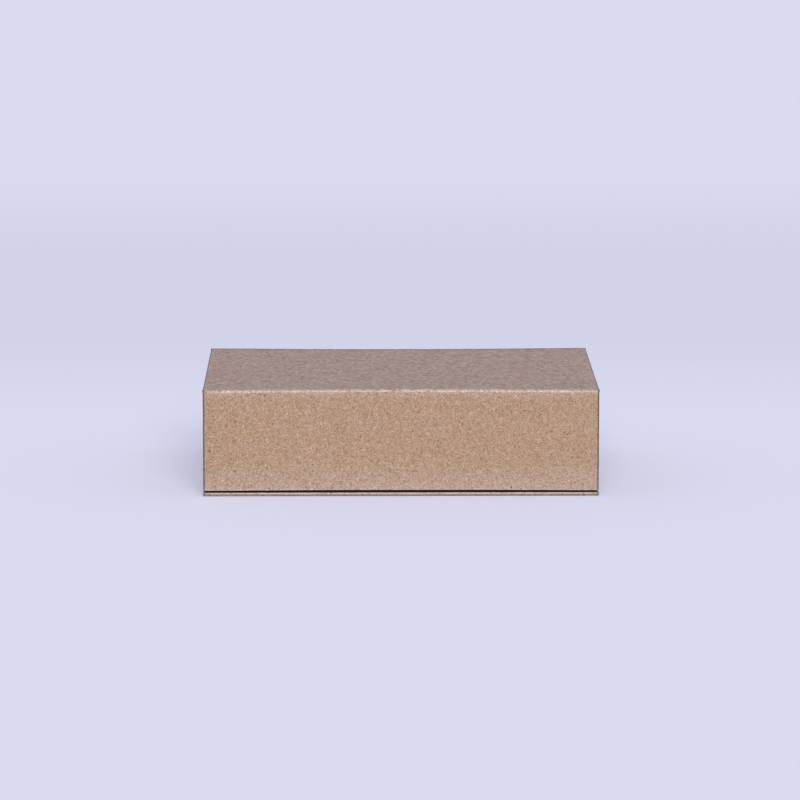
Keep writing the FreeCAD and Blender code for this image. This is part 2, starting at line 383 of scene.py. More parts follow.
def painted_slit_shade(y, z):
    """Painted shade on the foot of the tray's front and the base before it, deep in the slit."""
    face, tray_front = size.flap_face / MM, size.tray_low.y / MM
    foot = size.tray_low.z / MM
    inside = y.fade(face, face + 0.5) * y.fade(tray_front + 0.8, tray_front + 0.5)
    return inside * z.fade(foot + 1.05, foot + 0.7) * z.fade(foot - 0.3, foot - 0.05)


def fold_corners(y, z):
    """The inner corners of the two folds that move, where an open lining is drawn out."""
    rear, front, up = size.back_fold_y / MM, size.front_fold_y / MM, size.lid_fold_z / MM
    from_corner = abs(abs(y - (rear + front) / 2) - z - ((rear - front) / 2 - up))
    return from_corner.fade(1.7, 0.5) * z.fade(up - 3.2, up - 2.2)


def kraft(name, on_nodes=False):
    """Brown paper: soft patches of warm and greyish tan, a felt of pale and dark fibres, a
    few dark specks and an uneven glaze. It has painted highlights along the front fold and
    other edges, painted light that pales the flap towards its foot, painted sheen that mottles
    the top of the lid, painted shade where it bends round the panels' edges, and the darkest
    painted shade deep in the slit under the flap."""
    colours, wear_and_light = bpy.context.scene.box_colours, bpy.context.scene.paper_wear
    material, shader, place = new_material(name, on_nodes)
    x = place.node("SeparateXYZ", None, {0: place})
    y, z = x.other("Y"), x.other("Z")
    face, foot, lid_top = size.flap_face / MM, size.flap_foot / MM, size.lid_top / MM
    front, top = y.fade(face + 0.6, face + 0.3), z.fade(lid_top - 1.5, lid_top - 1.0)

    drawn = place.times(GRAIN)
    patches = drawn.noise(0.10, detail=2.0, roughness=0.6)
    clouds = drawn.noise(0.36, detail=3.0, roughness=0.65)
    blotches = drawn.noise(0.5, detail=2.5, roughness=0.8)
    sheen = place.noise(0.37, detail=2.5, roughness=0.7)
    felt, dark, pale, specks = fibres(place, drawn)

    warmth = (patches * 0.25 + clouds * 0.75).fade(0.37, 0.63)
    # Painted light: the flap pales towards its foot, as light from the floor would make it
    fading = z.fade(foot + 18.1, foot + 0.1) * front * wear_and_light.fading
    base = fading.blend(warmth.blend(colours.ochre, colours.mauve), colours.faded)
    # Painted highlights along the front fold and other edges
    base = painted_highlights(x, y, z, front, top, blotches).blend(base, colours.rubbed)

    even = 1 - fold_corners(y, z) * (FOLD_SMOOTHING if "lining" in name else 0.0)
    tone = (felt - 0.5) * wear_and_light.felt + pale * PALE_FIBRE - dark * DARK_FIBRE
    # Painted light just above the flap's foot edge
    painted_foot_light = z.fade(foot + 5.1, foot + 0.6) * z.fade(foot - 0.6, foot - 0.1) * front
    # Painted sheen: the top of the lid mottled lighter and darker
    tone = tone * even + painted_foot_light * 0.09 + (sheen - 0.5) * top * wear_and_light.mottling
    fibred = base.times(tone.stretched(FIBRE_TINT, (1.0, 1.0, 1.0)))
    flecked = (specks * even * SPECK).blend(fibred, colours.speck)
    # Painted shade at the panels' edges, along the lid's rear and at the base's foot
    flecked = flecked.tinted(1 - painted_edge_shade(x, y, z, front, top))
    # Painted shade deep in the slit under the flap
    paper = painted_slit_shade(y, z).blend(flecked, colours.glue)

    height = (felt * 0.5 + clouds * 1.5 + blotches * 0.8 + (pale - dark) * 0.25) * even
    feed(shader, Base_Color=paper, Roughness=0.46 + clouds * 0.1, Normal=height.relief(0.15))
    glazed = sheen.fade(0.3, 0.7) * z.fade(foot - 0.7, foot + 0.3) * wear_and_light.glaze
    feed(shader, Coat_Weight=glazed, Coat_Roughness=0.33)
    return material


def greyboard(name, on_nodes=False):
    """Recycled pulp board: grey-brown with darker flecks and a rough face."""
    colours = bpy.context.scene.box_colours
    material, shader, place = new_material(name, on_nodes)
    pulp = place.noise(0.8, detail=4.0, roughness=0.7)
    flecks = place.noise(2.2, detail=2.0).fade(0.62, 0.75)
    base = (flecks * 0.6).blend(colours.board, [0.35 * c for c in colours.board])
    feed(shader, Base_Color=base.tinted(0.8 + pulp * 0.4), Roughness=0.85)
    feed(shader, Normal=pulp.relief(0.08, 0.5))
    return material


def paper_tape(name, on_nodes=False):
    """Thin gummed paper tape with a faint weave of fibres."""
    colours = bpy.context.scene.box_colours
    material, shader, place = new_material(name, on_nodes)
    weave = place.noise(1.2, detail=3.0, roughness=0.7, distortion=1.5)
    base = weave.fade(0.35, 0.7).blend([0.85 * c for c in colours.tape], colours.tape)
    feed(shader, Base_Color=base, Roughness=0.5 + weave * 0.15, Normal=weave.relief(0.04, 0.3))
    return material


def plated_magnet(name, on_nodes=False):
    """Nickel-plated magnet with faint tumbling marks."""
    material, shader, place = new_material(name, on_nodes)
    marks = place.noise(0.9, detail=5.0, roughness=0.8)
    base = marks.fade(0.3, 0.7).blend((0.55, 0.53, 0.50), (0.72, 0.70, 0.66))
    feed(shader, Base_Color=base, Metallic=1.0, Roughness=0.22 + marks * 0.2)
    feed(shader, Normal=marks.relief(0.02, 0.15))
    return material


FINISHES = {
    "kraft_cover": kraft,
    "kraft_lining": kraft,
    "greyboard": greyboard,
    "stay_tape": paper_tape,
    "magnet": plated_magnet,
}


def finish_of(slot_name, on_nodes=False):
    """The material of a slot, made once for new pieces and once for carried-over nodes."""
    name = slot_name + ("_finish_on_node" if on_nodes else "_finish")
    return bpy.data.materials.get(name) or FINISHES[slot_name](name, on_nodes)


# Modelling


def chosen():
    """The sizes as they are set in the sidebar."""
    return bpy.context.scene.box_sizes


def near(a, b):
    return abs(a - b) < CLOSE


class Workpiece:
    """A mesh open in edit mode. Parts of it are picked by their place, and then shaped."""

    def __init__(self, name, low, high):
        bpy.ops.object.select_all(action="DESELECT")
        self.add_block(low, high)
        self.piece = bpy.context.object
        self.piece.name = self.piece.data.name = name
        bpy.ops.object.transform_apply(location=True, rotation=True, scale=True)
        bpy.ops.object.mode_set(mode="EDIT")

    def add_block(self, low, high):
        """A block, which joins the mesh that is open."""
        low, high = Vector(low), Vector(high)
        bpy.ops.mesh.primitive_cube_add(size=1, location=(low + high) / 2, scale=high - low)
        return self

    @classmethod
    def traced(cls, name, points):
        """A line of edges through points, drawn by extruding one corner on and on."""
        first = Vector(points[0])
        made = cls(name, first - Vector((MM,) * 3), first + Vector((MM,) * 3))
        bpy.ops.mesh.select_all(action="SELECT")
        bpy.ops.mesh.merge(type="CENTER")
        bpy.ops.mesh.select_mode(type="VERT")
        for here, there in zip(points, points[1:]):
            made.extrude(Vector(there) - Vector(here))
        return made.pick("edges", lambda edge: True)

    def pick(self, kind, test):
        """Selects the verts, edges or faces that pass the test."""
        self.picked = kind, test
        bpy.ops.mesh.select_mode(type=kind[:-1].upper())
        bpy.ops.mesh.select_all(action="DESELECT")
        mesh = bmesh.from_edit_mesh(self.piece.data)
        found = [part for part in getattr(mesh, kind) if test(part)]
        for part in found:
            part.select_set(True)
        mesh.select_flush_mode()
        bmesh.update_edit_mesh(self.piece.data)
        if not found:
            raise RuntimeError(f"{self.piece.name}: nothing to pick")
        return self

    def pick_along(self, axis, longer_than=0.0, test=lambda middle: True):
        """Selects the straight edges along an axis."""

        def fits(edge):
            run = edge.verts[1].co - edge.verts[0].co
            straight = abs(run[axis]) > 0.999 * run.length
            return straight and run.length > longer_than and test(middle_of(edge))

        return self.pick("edges", fits)

    def extrude(self, by, rows=1):
        for _ in range(rows):
            step = tuple(Vector(by) / rows)
            bpy.ops.mesh.extrude_region_move(TRANSFORM_OT_translate={"value": step})
        return self

    def move(self, by):
        bpy.ops.transform.translate(value=tuple(by))
        return self

    def scale(self, by, about):
        bpy.ops.transform.resize(value=tuple(by), center_override=tuple(about))
        return self

    def spin(self, degrees, steps, y, z):
        """Sweeps what is picked round a line along X, from up towards the front."""
        bpy.ops.mesh.spin(
            steps=steps, angle=math.radians(degrees), center=(0, y, z), axis=(-1, 0, 0)
        )
        return self

    def bevel(self, radius, segments=3):
        bpy.ops.mesh.bevel(offset=radius, segments=segments, profile=0.5, affect="EDGES")
        return self

    def divide(self, cuts):
        bpy.ops.mesh.subdivide(number_cuts=cuts)
        return self

    def cut(self, axis, *places):
        """Cuts what is picked by planes square to an axis."""
        normal = [float(i == axis) for i in range(3)]
        for at in places:
            self.pick(*self.picked)
            bpy.ops.mesh.bisect(plane_co=[at * n for n in normal], plane_no=normal)
        return self

    def delete(self, kind="FACE"):
        bpy.ops.mesh.delete(type=kind)
        return self

    def close(self, toward=None, thickness=0.0, bow=None, smooth=40):
        """Merges doubles, turns the faces outwards, gives a sheet its thickness, bows it
        and leaves edit mode. Toward is where most of an open sheet's face looks. The place
        of every point at rest, before the bow, is kept for the pattern."""
        piece = self.piece
        bpy.ops.mesh.select_mode(type="VERT")
        bpy.ops.mesh.select_all(action="SELECT")
        bpy.ops.mesh.remove_doubles(threshold=DOUBLES)
        bpy.ops.mesh.normals_make_consistent(inside=False)
        if toward is not None:
            faces = bmesh.from_edit_mesh(piece.data).faces
            if sum(f.calc_area() * f.normal.dot(Vector(toward)) for f in faces) < 0:
                bpy.ops.mesh.flip_normals()
        bpy.ops.object.mode_set(mode="OBJECT")
        if thickness:
            sheet = piece.modifiers.new("paper", "SOLIDIFY")
            sheet.thickness, sheet.offset = thickness, -1.0
            bpy.ops.object.modifier_apply(modifier=sheet.name)
        rest = piece.data.attributes.new(REST, "FLOAT_VECTOR", "POINT")
        for value, vertex in zip(rest.data, piece.data.vertices):
            value.vector = vertex.co
        if bow is not None:
            bend = piece.modifiers.new("bow", "LATTICE")
            bend.object = bow
            bpy.ops.object.modifier_apply(modifier=bend.name)
        bpy.ops.object.shade_smooth_by_angle(angle=math.radians(smooth))
        return piece


def middle_of(part):
    return sum((v.co for v in part.verts), Vector()) / len(part.verts)


def facing(face, axis, sign=0):
    """Whether a face looks along an axis, or with a sign of 1 or -1 only up or down it."""
    along = face.normal[axis]
    return along * sign > 0.99 if sign else abs(along) > 0.99


LOOSE, STANDING = "loose_bow", "standing_bow"


def bowing_cage(name, fixed_base):
    """A lattice that bows the box: the middle of its width sags at the back and rises at
    the front. With a fixed base the bow fades out down to the table."""
    sizes = chosen()
    bpy.ops.object.select_all(action="DESELECT")
    bpy.ops.object.add(type="LATTICE", location=(0, 0, size.lid_top / 2))
    cage = bpy.context.object
    cage.name = name
    cage.scale = (2 * size.half_width, size.depth, size.lid_top)
    cage.data.points_u, cage.data.points_v, cage.data.points_w = 5, 2, 2
    cage.data.interpolation_type_u = "KEY_CARDINAL"
    cage.data.interpolation_type_v = cage.data.interpolation_type_w = "KEY_LINEAR"
    for point in cage.data.points:
        middle = 1 - (2 * point.co.x) ** 2
        shift = -sizes.lid_sag if point.co.y > 0 else sizes.flap_rise
        if fixed_base and point.co.z < 0:
            shift = 0.0
        point.co_deform.z += middle * shift / size.lid_top
    return cage


def cages():
    """The cage for the lid and flap, and the one for the case and tray, which stand still."""
    found = bpy.data.objects
    return (
        found.get(LOOSE) or bowing_cage(LOOSE, fixed_base=False),
        found.get(STANDING) or bowing_cage(STANDING, fixed_base=True),
    )


def ready(piece, slot_name, body=None, stands_for=()):
    """Gives a finished piece its material, its body and the nodes it stands for."""
    piece.data.materials.clear()
    piece.data.materials.append(finish_of(slot_name))
    if body:
        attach(piece, body)
    if stands_for:
        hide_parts(*stands_for)
    return piece


# Cover paper

FIXED_FOLD_GAP = 0.03 * MM  # between the layers in the fold that stays bent
LID_ROWS, FLAP_ROWS, CASE_ROWS = 17, 7, 5  # cuts along a panel, for faces that aren't long


def turn_in_end():
    """How far from the middle of the width the turned-in paper at a side ends."""
    return size.half_width - size.paper - chosen().turn_in


def divide_across(work):
    """Divides a piece along its width, so that it can bow."""
    return work.pick_along(0, longer_than=ACROSS).divide(chosen().columns - 1)


def add_columns(work):
    """Cuts a panel where its turn-ins end, and divides it along its width."""
    work.pick("faces", lambda f: True).cut(0, -turn_in_end(), turn_in_end())
    return divide_across(work)


def end_cap(work, axis, at, outer_axis, outer, inward):
    """Takes the cover down the end of a board at a fold, from the turned-in paper out to
    the depth of the doubled paper there."""
    level = outer + inward * chosen().doubled

    def deeper(vertex):
        return (vertex.co[outer_axis] - level) * inward > -0.1 * CLOSE

    def on_end(edge):
        return edge.is_boundary and all(near(v.co[axis], at) and deeper(v) for v in edge.verts)

    work.pick("faces", lambda f: facing(f, 0)).cut(outer_axis, level)
    work.pick("edges", on_end).extrude((0, 0, 0))
    flat, about = Vector((1, 1, 1)), Vector()
    flat[outer_axis], about[outer_axis] = 0, level
    return work.scale(flat, about)


def hold_back(work, axis, at, by, inner_axis, inner):
    """Moves the end of the inner face at a fold back, so that two panels can close."""
    shift = Vector()
    shift[axis] = by
    return work.pick(
        "verts", lambda v: near(v.co[axis], at) and near(v.co[inner_axis], inner)
    ).move(shift)


def puff_ends(work, y, z, first_turn, turn):
    """Moves the ends of a fold outwards, most in the middle of its turn."""
    sizes = chosen()
    for row in range(1, sizes.fold_steps):
        share = row / sizes.fold_steps
        angle = math.radians(first_turn + turn * share)
        puff = sizes.fold_puff * math.sin(math.pi * share) ** 0.5
        for side in (-1, 1):

            def on_row(vertex):
                """Whether it lies at this end of the fold and this far round it."""
                out, up = y - vertex.co.y, vertex.co.z - z
                radius = math.hypot(out, up)
                if radius > size.cover_face + CLOSE:
                    return False
                off = math.remainder(math.atan2(out, up) - angle, math.tau)
                at_end = side * vertex.co.x > size.half_width - 1.5 * sizes.edge_round
                return at_end and radius > 0.5 * MM and abs(off) < 0.01

            work.pick("verts", on_row).move((side * puff, 0, 0))
    return work


def lid_cover(bow):
    """Cover paper of the lid, open at both folds."""
    sizes = chosen()
    w, top = size.half_width, size.lid_top
    inner = top - size.wrapped
    front, back = size.front_fold_y, size.back_fold_y
    work = Workpiece("lid_cover", (-w, front, inner), (w, back, top))
    work.pick("faces", lambda f: facing(f, 1)).delete("ONLY_FACE")
    work.pick_along(1).bevel(sizes.edge_round)
    add_columns(work)
    work.pick_along(1, longer_than=ACROSS).divide(LID_ROWS)
    end = turn_in_end()
    work.pick("faces", lambda f: facing(f, 2, -1) and abs(middle_of(f).x) < end).delete()
    for at, by in ((front, size.paper), (back, -size.paper)):
        end_cap(work, 1, at, 2, top, -1)
        hold_back(work, 1, at, by, 2, inner)
    return work.close((0, 0, 1), size.paper, bow)


def flap_cover(bow):
    """Cover paper of the flap, open at the fold and rounded over at its foot."""
    sizes = chosen()
    w, outer = size.half_width, size.flap_face
    inner = outer + size.wrapped
    foot, fold = size.flap_foot, size.lid_fold_z
    margin = foot + size.paper + sizes.turn_in
    work = Workpiece("flap_cover", (-w, outer, foot), (w, inner, fold))
    work.pick("faces", lambda f: facing(f, 2, 1)).delete("ONLY_FACE")
    work.pick("edges", lambda e: not e.is_boundary).bevel(sizes.edge_round)
    add_columns(work)
    work.pick_along(2, longer_than=UPWARDS).divide(FLAP_ROWS)
    work.pick("faces", lambda f: facing(f, 1, 1)).cut(2, margin)
    end = turn_in_end()

    def bare(face):
        middle = middle_of(face)
        return facing(face, 1, 1) and abs(middle.x) < end and middle.z > margin

    work.pick("faces", bare).delete()
    end_cap(work, 2, fold, 1, outer, 1)
    hold_back(work, 2, fold, -size.paper, 1, inner)
    return work.close((0, -1, 0), size.paper, bow)


def wear_base(work, front, foot, top, depth=0.0):
    """Rounds the front edges of the base, at a depth under its face."""
    radius = chosen().base_round
    for level, share in ((foot, 1.0), (top, 0.5)):
        work.pick_along(0, test=lambda m: near(m.y, front) and near(m.z, level))
        work.bevel(radius * share - depth, 5)
    return work


def case_cover(bow):
    """Cover paper of the base, of the fold that stays bent, and of the spine."""
    sizes = chosen()
    w, front, top = size.half_width, size.case_front, size.lid_fold_z
    fold_y, fold_z, depth = size.back_fold_y, size.base_fold_z, sizes.doubled
    outer = fold_y + size.cover_face
    inner = outer - size.wrapped
    margin = front + size.paper + sizes.turn_in
    work = Workpiece("case_cover", (-w, front, 0), (w, fold_y, size.wrapped))
    work.add_block((-w, inner, fold_z), (w, outer, top))

    def open_end(face):
        middle = middle_of(face)
        return facing(face, 1) and near(middle.y, fold_y) or facing(face, 2) and (
            near(middle.z, fold_z) or near(middle.z, top)
        )

    def at_side(edge):
        return not edge.is_boundary and near(abs(middle_of(edge).x), w)

    work.pick("faces", open_end).delete("ONLY_FACE")
    wear_base(work, front, 0.0, size.wrapped)
    work.pick("edges", at_side).bevel(sizes.edge_round)
    add_columns(work)
    work.pick_along(1, longer_than=ACROSS).divide(CASE_ROWS)
    work.pick_along(2, longer_than=UPWARDS).divide(CASE_ROWS)
    work.pick("faces", lambda f: facing(f, 2, 1)).cut(1, margin)
    end = turn_in_end()

    def bare(face):
        middle = middle_of(face)
        if facing(face, 1, -1) and middle.z > size.wrapped:
            return abs(middle.x) < end
        return facing(face, 2, 1) and abs(middle.x) < end and middle.y > margin

    work.pick("faces", bare).delete()
    end_cap(work, 2, top, 1, outer, -1)
    end_cap(work, 2, fold_z, 1, outer, -1)
    end_cap(work, 1, fold_y, 2, 0, 1)

    def at_fold(edge):
        return all(near(v.co.y, fold_y) and v.co.z < depth + CLOSE for v in edge.verts)

    work.pick("edges", at_fold).spin(90, sizes.fold_steps, fold_y, fold_z)
    gap = size.paper + FIXED_FOLD_GAP
    hold_back(work, 1, fold_y, -gap, 2, size.wrapped)
    hold_back(work, 2, fold_z, gap, 1, inner)
    hold_back(work, 2, top, -size.paper, 1, inner)
    puff_ends(work, fold_y, fold_z, 180, 90)
    return work.close((0, 0, -1), size.paper, bow)


def fold_section():
    """Half of a fold's section, as points of (x, depth): from the middle of the width to
    the end, and round it to the edge of the turned-in paper."""
    sizes = chosen()
    w, r = size.half_width, sizes.doubled / 2
    steps = sizes.columns // 2
    points = [((w - r) * i / steps, 0.0) for i in range(1, steps + 1)]
    for degrees in (30, 60, 90, 120, 150, 180):
        a = math.radians(degrees)
        points.append((w - r + r * math.sin(a), r - r * math.cos(a)))
    return points + [(turn_in_end(), 2 * r)]


def fold_strip(name, y, z, first_turn, bow):
    """Cover paper round a fold that moves: a quarter tube with doubled ends that puff out.
    Its first and last steps are short, so that it joins the panels without a line."""
    sizes = chosen()
    half = fold_section()
    section = [(-x, depth) for x, depth in reversed(half)] + [(0.0, 0.0)] + half
    turn = math.radians(first_turn)
    out = Vector((0, -math.sin(turn), math.cos(turn)))
    centre = Vector((0, y, z))
    line = [centre + Vector((x, 0, 0)) + out * (size.cover_face - depth) for x, depth in section]
    work = Workpiece.traced(name, line)
    work.spin(1, 1, y, z).spin(88, sizes.fold_steps, y, z).spin(1, 1, y, z)
    puff_ends(work, y, z, first_turn + 1, 88)
    middle = math.radians(first_turn + 45)
    return work.close((0, -math.sin(middle), math.cos(middle)), size.paper, bow)


# Lining paper

LINER_CORNER = 0.5 * MM  # radius in the inner corner of a fold
LINER_SLOPE = 0.4 * MM  # width of the slope down from the turned-in cover
BEND_ROWS = 2 * MM  # how far from that corner the lining has close rows


def liner_line(name, y, z, dip):
    """A line across a lining: on the turned-in cover at its sides, and down on the board
    between them."""
    columns = chosen().columns
    edge, end = turn_in_end(), size.liner_half
    flat = edge - LINER_SLOPE
    middle = [(flat * (2 * i / columns - 1), size.paper) for i in range(columns + 1)]
    section = [(-end, 0), (-edge, 0), *middle, (edge, 0), (end, 0)]
    points = [Vector((x, y, z)) + Vector(dip) * depth for x, depth in section]
    return Workpiece.traced(name, points)


def lid_liner(bow):
    """Lining of the lid, between its strips over the two folds."""
    level = size.lid_fold_z - 2 * size.paper
    start, end = size.back_fold_y - size.hinge_strip, size.front_fold_y + size.hinge_strip
    work = liner_line("lid_liner", start, level, (0, 0, 1)).extrude((0, end - start, 0), 14)
    return work.close((0, 0, -1), size.paper, bow)


def fold_liner(name, start, dip, inwards, centre, outwards, steps, bow):
    """Lining over the inner corner of a fold: along one panel, round, and along the next."""
    leg = size.hinge_strip - 2 * size.paper
    far, close = leg - BEND_ROWS, BEND_ROWS - LINER_CORNER
    inwards, outwards = Vector(inwards), Vector(outwards)
    work = liner_line(name, *start, dip)
    work.extrude(inwards * far, 2).extrude(inwards * close, 4).spin(90, steps, *centre)
    work.extrude(outwards * close, 4).extrude(outwards * far, 2)
    return work.close(outwards - inwards, size.paper, bow)


def rear_fold_liner(bow):
    """Lining of the rear fold, from the spine to the lid."""
    layers, r = 2 * size.paper, LINER_CORNER
    y, z = size.back_fold_y - layers, size.lid_fold_z - layers
    start, centre = (y, z + layers - size.hinge_strip), (y - r, z - r)
    return fold_liner(
        "rear_fold_liner", start, (0, 1, 0), (0, 0, 1), centre, (0, -1, 0), 5, bow
    )


def front_fold_liner(bow):
    """Lining of the front fold, from the lid to the flap."""
    layers, r = 2 * size.paper, LINER_CORNER
    y, z = size.front_fold_y + layers, size.lid_fold_z - layers
    start, centre = (y - layers + size.hinge_strip, z), (y + r, z - r)
    return fold_liner(
        "front_fold_liner", start, (0, 0, 1), (0, -1, 0), centre, (0, 0, -1), 12, bow
    )


def flap_liner(bow):
    """Lining of the flap: at its foot it climbs onto the turned-in paper there too."""
    sizes = chosen()
    y = size.front_fold_y + 2 * size.paper
    top = size.lid_fold_z - size.hinge_strip
    margin = size.flap_foot + size.paper + sizes.turn_in
    work = liner_line("flap_liner", y, top, (0, -1, 0))
    work.extrude((0, 0, margin + LINER_SLOPE - top), 5).extrude((0, 0, -LINER_SLOPE))
    inside = turn_in_end() - 0.1 * MM
    work.pick("verts", lambda v: near(v.co.z, margin) and abs(v.co.x) < inside)
    work.move((0, size.paper, 0))
    work.pick("edges", lambda e: all(near(v.co.z, margin) for v in e.verts))
    work.extrude((0, 0, size.flap_liner_foot - margin), 2)
    work.pick("verts", lambda v: v.co.z < margin - MM)
    work.scale((1, 0, 1), (0, y, 0))
    return work.close((0, 1, 0), size.paper, bow)


# Boards that follow the bow


def base_core():
    """The base's board, with its front edges worn round under the cover."""
    low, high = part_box("base_board")
    work = Workpiece("base_core", low, high)
    return wear_base(work, low.y, low.z, high.z, size.paper).close(smooth=30)


def core(name, node, rows_axis, rows, bow):
    """A board that bows, in the place of a straight one."""
    work = divide_across(Workpiece(name, *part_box(node)))
    work.pick_along(rows_axis, longer_than=UPWARDS).divide(rows - 1)
    return work.close(bow=bow, smooth=30)


POCKET_GAP = 0.1 * MM  # round a magnet


def cut_pockets(board, magnets):
    """Cuts a round pocket in a board for each magnet."""
    for magnet in magnets:
        low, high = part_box(magnet)
        bpy.ops.object.select_all(action="DESELECT")
        bpy.ops.mesh.primitive_cylinder_add(
            vertices=48, radius=(high.x - low.x) / 2 + POCKET_GAP, depth=2 * (high.y - low.y),
            location=((low.x + high.x) / 2, high.y, (low.z + high.z) / 2),
            rotation=(math.pi / 2, 0, 0),
        )
        cutter = bpy.context.object
        bpy.ops.object.select_all(action="DESELECT")
        board.select_set(True)
        bpy.context.view_layer.objects.active = board
        pocket = board.modifiers.new("pocket", "BOOLEAN")
        pocket.object, pocket.solver = cutter, "EXACT"
        bpy.ops.object.modifier_apply(modifier=pocket.name)
        bpy.data.objects.remove(cutter)
    return board


# Tray

TURN_UNDER = 15 * MM  # margin of the tray's paper under its floor
OUTER_CORNER, INNER_CORNER = 0.6 * MM, 0.12 * MM  # radii of its upright edges
RIM_EDGE, FOOT_EDGE = 0.36 * MM, 0.3 * MM  # radii of its level edges
TAPE_SLOPE = 0.3 * MM  # width of its slope up over the corner tape
SEAM_SLOPE, SEAM_RISE = 0.04 * MM, 0.08 * MM  # its edge beside each corner


def both_ways(middle, reach, slope):
    """Places where a slope starts and ends, on both sides of a middle."""
    return [middle + side * (reach - d) for side in (-1, 1) for d in (0, slope)]


def tray_paper(bow):
    """The tray's wrapping: under the floor, up the outside, over the rim and down inside.
    The paper steps over the tape at the corners, and its edge shows beside each corner."""
    low, high = size.tray_low.copy(), size.tray_high.copy()
    tape = size.stay_tape
    low.x, low.y, high.x, high.y = low.x + tape, low.y + tape, high.x - tape, high.y - tape
    work = Workpiece("tray_paper", low, high)
    wall = size.inside_low.x - low.x
    work.pick("faces", lambda f: facing(f, 2, 1))
    bpy.ops.mesh.inset(thickness=wall)
    work.extrude((0, 0, size.floor_top - high.z)).delete("ONLY_FACE")
    work.pick("faces", lambda f: facing(f, 2, -1) and near(middle_of(f).z, low.z))
    bpy.ops.mesh.inset(thickness=TURN_UNDER)
    work.delete("ONLY_FACE")

    def outside(middle):
        return near(abs(middle.x), high.x) and middle.z > low.z

    work.pick_along(2, test=outside).bevel(OUTER_CORNER, 4)
    work.pick_along(2, test=lambda m: abs(m.x) < high.x - MM).bevel(INNER_CORNER, 2)

    def loop_at(edge, level):
        level_edge = all(near(v.co.z, level) for v in edge.verts)
        return level_edge and any(not facing(f, 2) for f in edge.link_faces)

    work.pick("edges", lambda e: loop_at(e, high.z)).bevel(RIM_EDGE)
    work.pick("edges", lambda e: loop_at(e, low.z)).bevel(FOOT_EDGE, 2)
    leg = size.stay_leg
    work.pick("faces", lambda f: facing(f, 1) or facing(f, 2))
    work.cut(0, *both_ways(0, high.x - leg, TAPE_SLOPE))
    divide_across(work)
    centre_y = (low.y + high.y) / 2
    half_y = (high.y - low.y) / 2
    work.pick("faces", lambda f: facing(f, 0) or facing(f, 2))
    work.cut(1, *both_ways(centre_y, half_y - leg, TAPE_SLOPE))
    work.pick("faces", lambda f: facing(f, 0) and abs(middle_of(f).x) > size.inside_high.x + MM)
    work.cut(1, *both_ways(centre_y, half_y - MM, SEAM_SLOPE))
    work.pick_along(2, longer_than=UPWARDS).divide(CASE_ROWS)

    def over_tape(face):
        middle = middle_of(face)
        far_y = abs(middle.y - centre_y)
        upright = abs(face.normal.z) < 0.01
        at_corner = abs(middle.x) > high.x - leg and far_y > half_y - leg
        return upright and at_corner and (abs(middle.x) > high.x - MM or far_y > half_y - MM)

    work.pick("faces", over_tape)
    bpy.ops.transform.shrink_fatten(value=tape)

    def side_sheet(face):
        middle = middle_of(face)
        between = abs(middle.y - centre_y) < half_y - MM
        return facing(face, 0) and abs(middle.x) > high.x - MM and between

    for sign in (-1, 1):
        work.pick("faces", lambda f: side_sheet(f) and middle_of(f).x * sign > 0)
        work.move((sign * SEAM_RISE, 0, 0))
    return work.close((0, 0, -1), size.paper, bow)


# Studio. The camera and the light were fitted to the photograph's 800 by 800 frame

CAMERA_PLACE = (-23.9055 * MM, -2404.8417 * MM, 424.9156 * MM)
CAMERA_TILT, CAMERA_TURN = math.radians(80.877318), math.radians(-0.574084)
LENS, SENSOR = 205.0256, 36.0  # millimetres
AMBIENT, AMBIENT_LEVEL = (0.82, 0.88, 1.0), 0.485
FLOOR_LIFT = (0.165, 0.203, 0.290)  # what the floor shows the camera past the light on it
LAMP_TARGET = (0, 0, 0.03)
LAMPS = (  # name, place, level, spread in degrees, tint
    ("key_lamp", (0.22, -2.5, 1.5), 0.595, 35, (1.0, 0.985, 0.965)),
    ("rear_fill", (-0.8, 2.2, 0.9), 0.06, 70, (0.95, 0.97, 1.0)),
)


def studio_floor():
    """A pale floor with a band of painted shade behind the box. It shows the camera and mirrors
    a little more light than it gives."""
    colours = bpy.context.scene.box_colours
    bpy.ops.object.select_all(action="DESELECT")
    bpy.ops.mesh.primitive_plane_add(size=16)
    floor = bpy.context.object
    floor.name = floor.data.name = "studio_floor"
    material, shader, start = plain_material(floor.name)
    path = start.node("LightPath", output="Is Camera Ray")
    seen = path + path.other("Is Glossy Ray")
    seen = path.math("ADD", seen, path.other("Is Transmission Ray"), clamp=True)
    place = path.node("TexCoord", output="Object")
    y = place.node("SeparateXYZ", None, {0: place}, "Y")
    # Painted shade: a darker band of the floor behind the box
    behind = y.fade(0.15, 0.5) * y.fade(1.5, 0.9)
    sweep = behind.blend(colours.floor, [0.9 * c for c in colours.floor])
    lift = seen.blend((0, 0, 0), FLOOR_LIFT)
    feed(shader, Base_Color=sweep, Roughness=1.0, Emission_Color=lift)
    feed(shader, Specular_IOR_Level=0.0, Emission_Strength=1.0)
    floor.data.materials.append(material)


def studio_world():
    """Faint light from all round, a dim surround for reflections and a pale backdrop."""
    colours = bpy.context.scene.box_colours
    world = bpy.data.worlds.new("studio_world")
    bpy.context.scene.world = world
    world.use_nodes = True
    tree = world.node_tree
    tree.nodes.clear()
    camera = Signal(tree, tree.nodes.new("ShaderNodeLightPath").outputs["Is Camera Ray"])

    def sky(tint, strength=1.0):
        return camera.node("Background", None, {"Color": (*tint, 1.0), "Strength": strength})

    ambient, mirrored = sky(AMBIENT, AMBIENT_LEVEL), sky(colours.surround)
    inputs = {0: camera.other("Is Glossy Ray"), 1: ambient, 2: mirrored}
    mixed = camera.node("MixShader", None, inputs)
    mixed = camera.node("MixShader", None, {0: camera, 1: mixed, 2: sky(colours.backdrop)})
    tree.links.new(mixed.output, tree.nodes.new("ShaderNodeOutputWorld").inputs["Surface"])


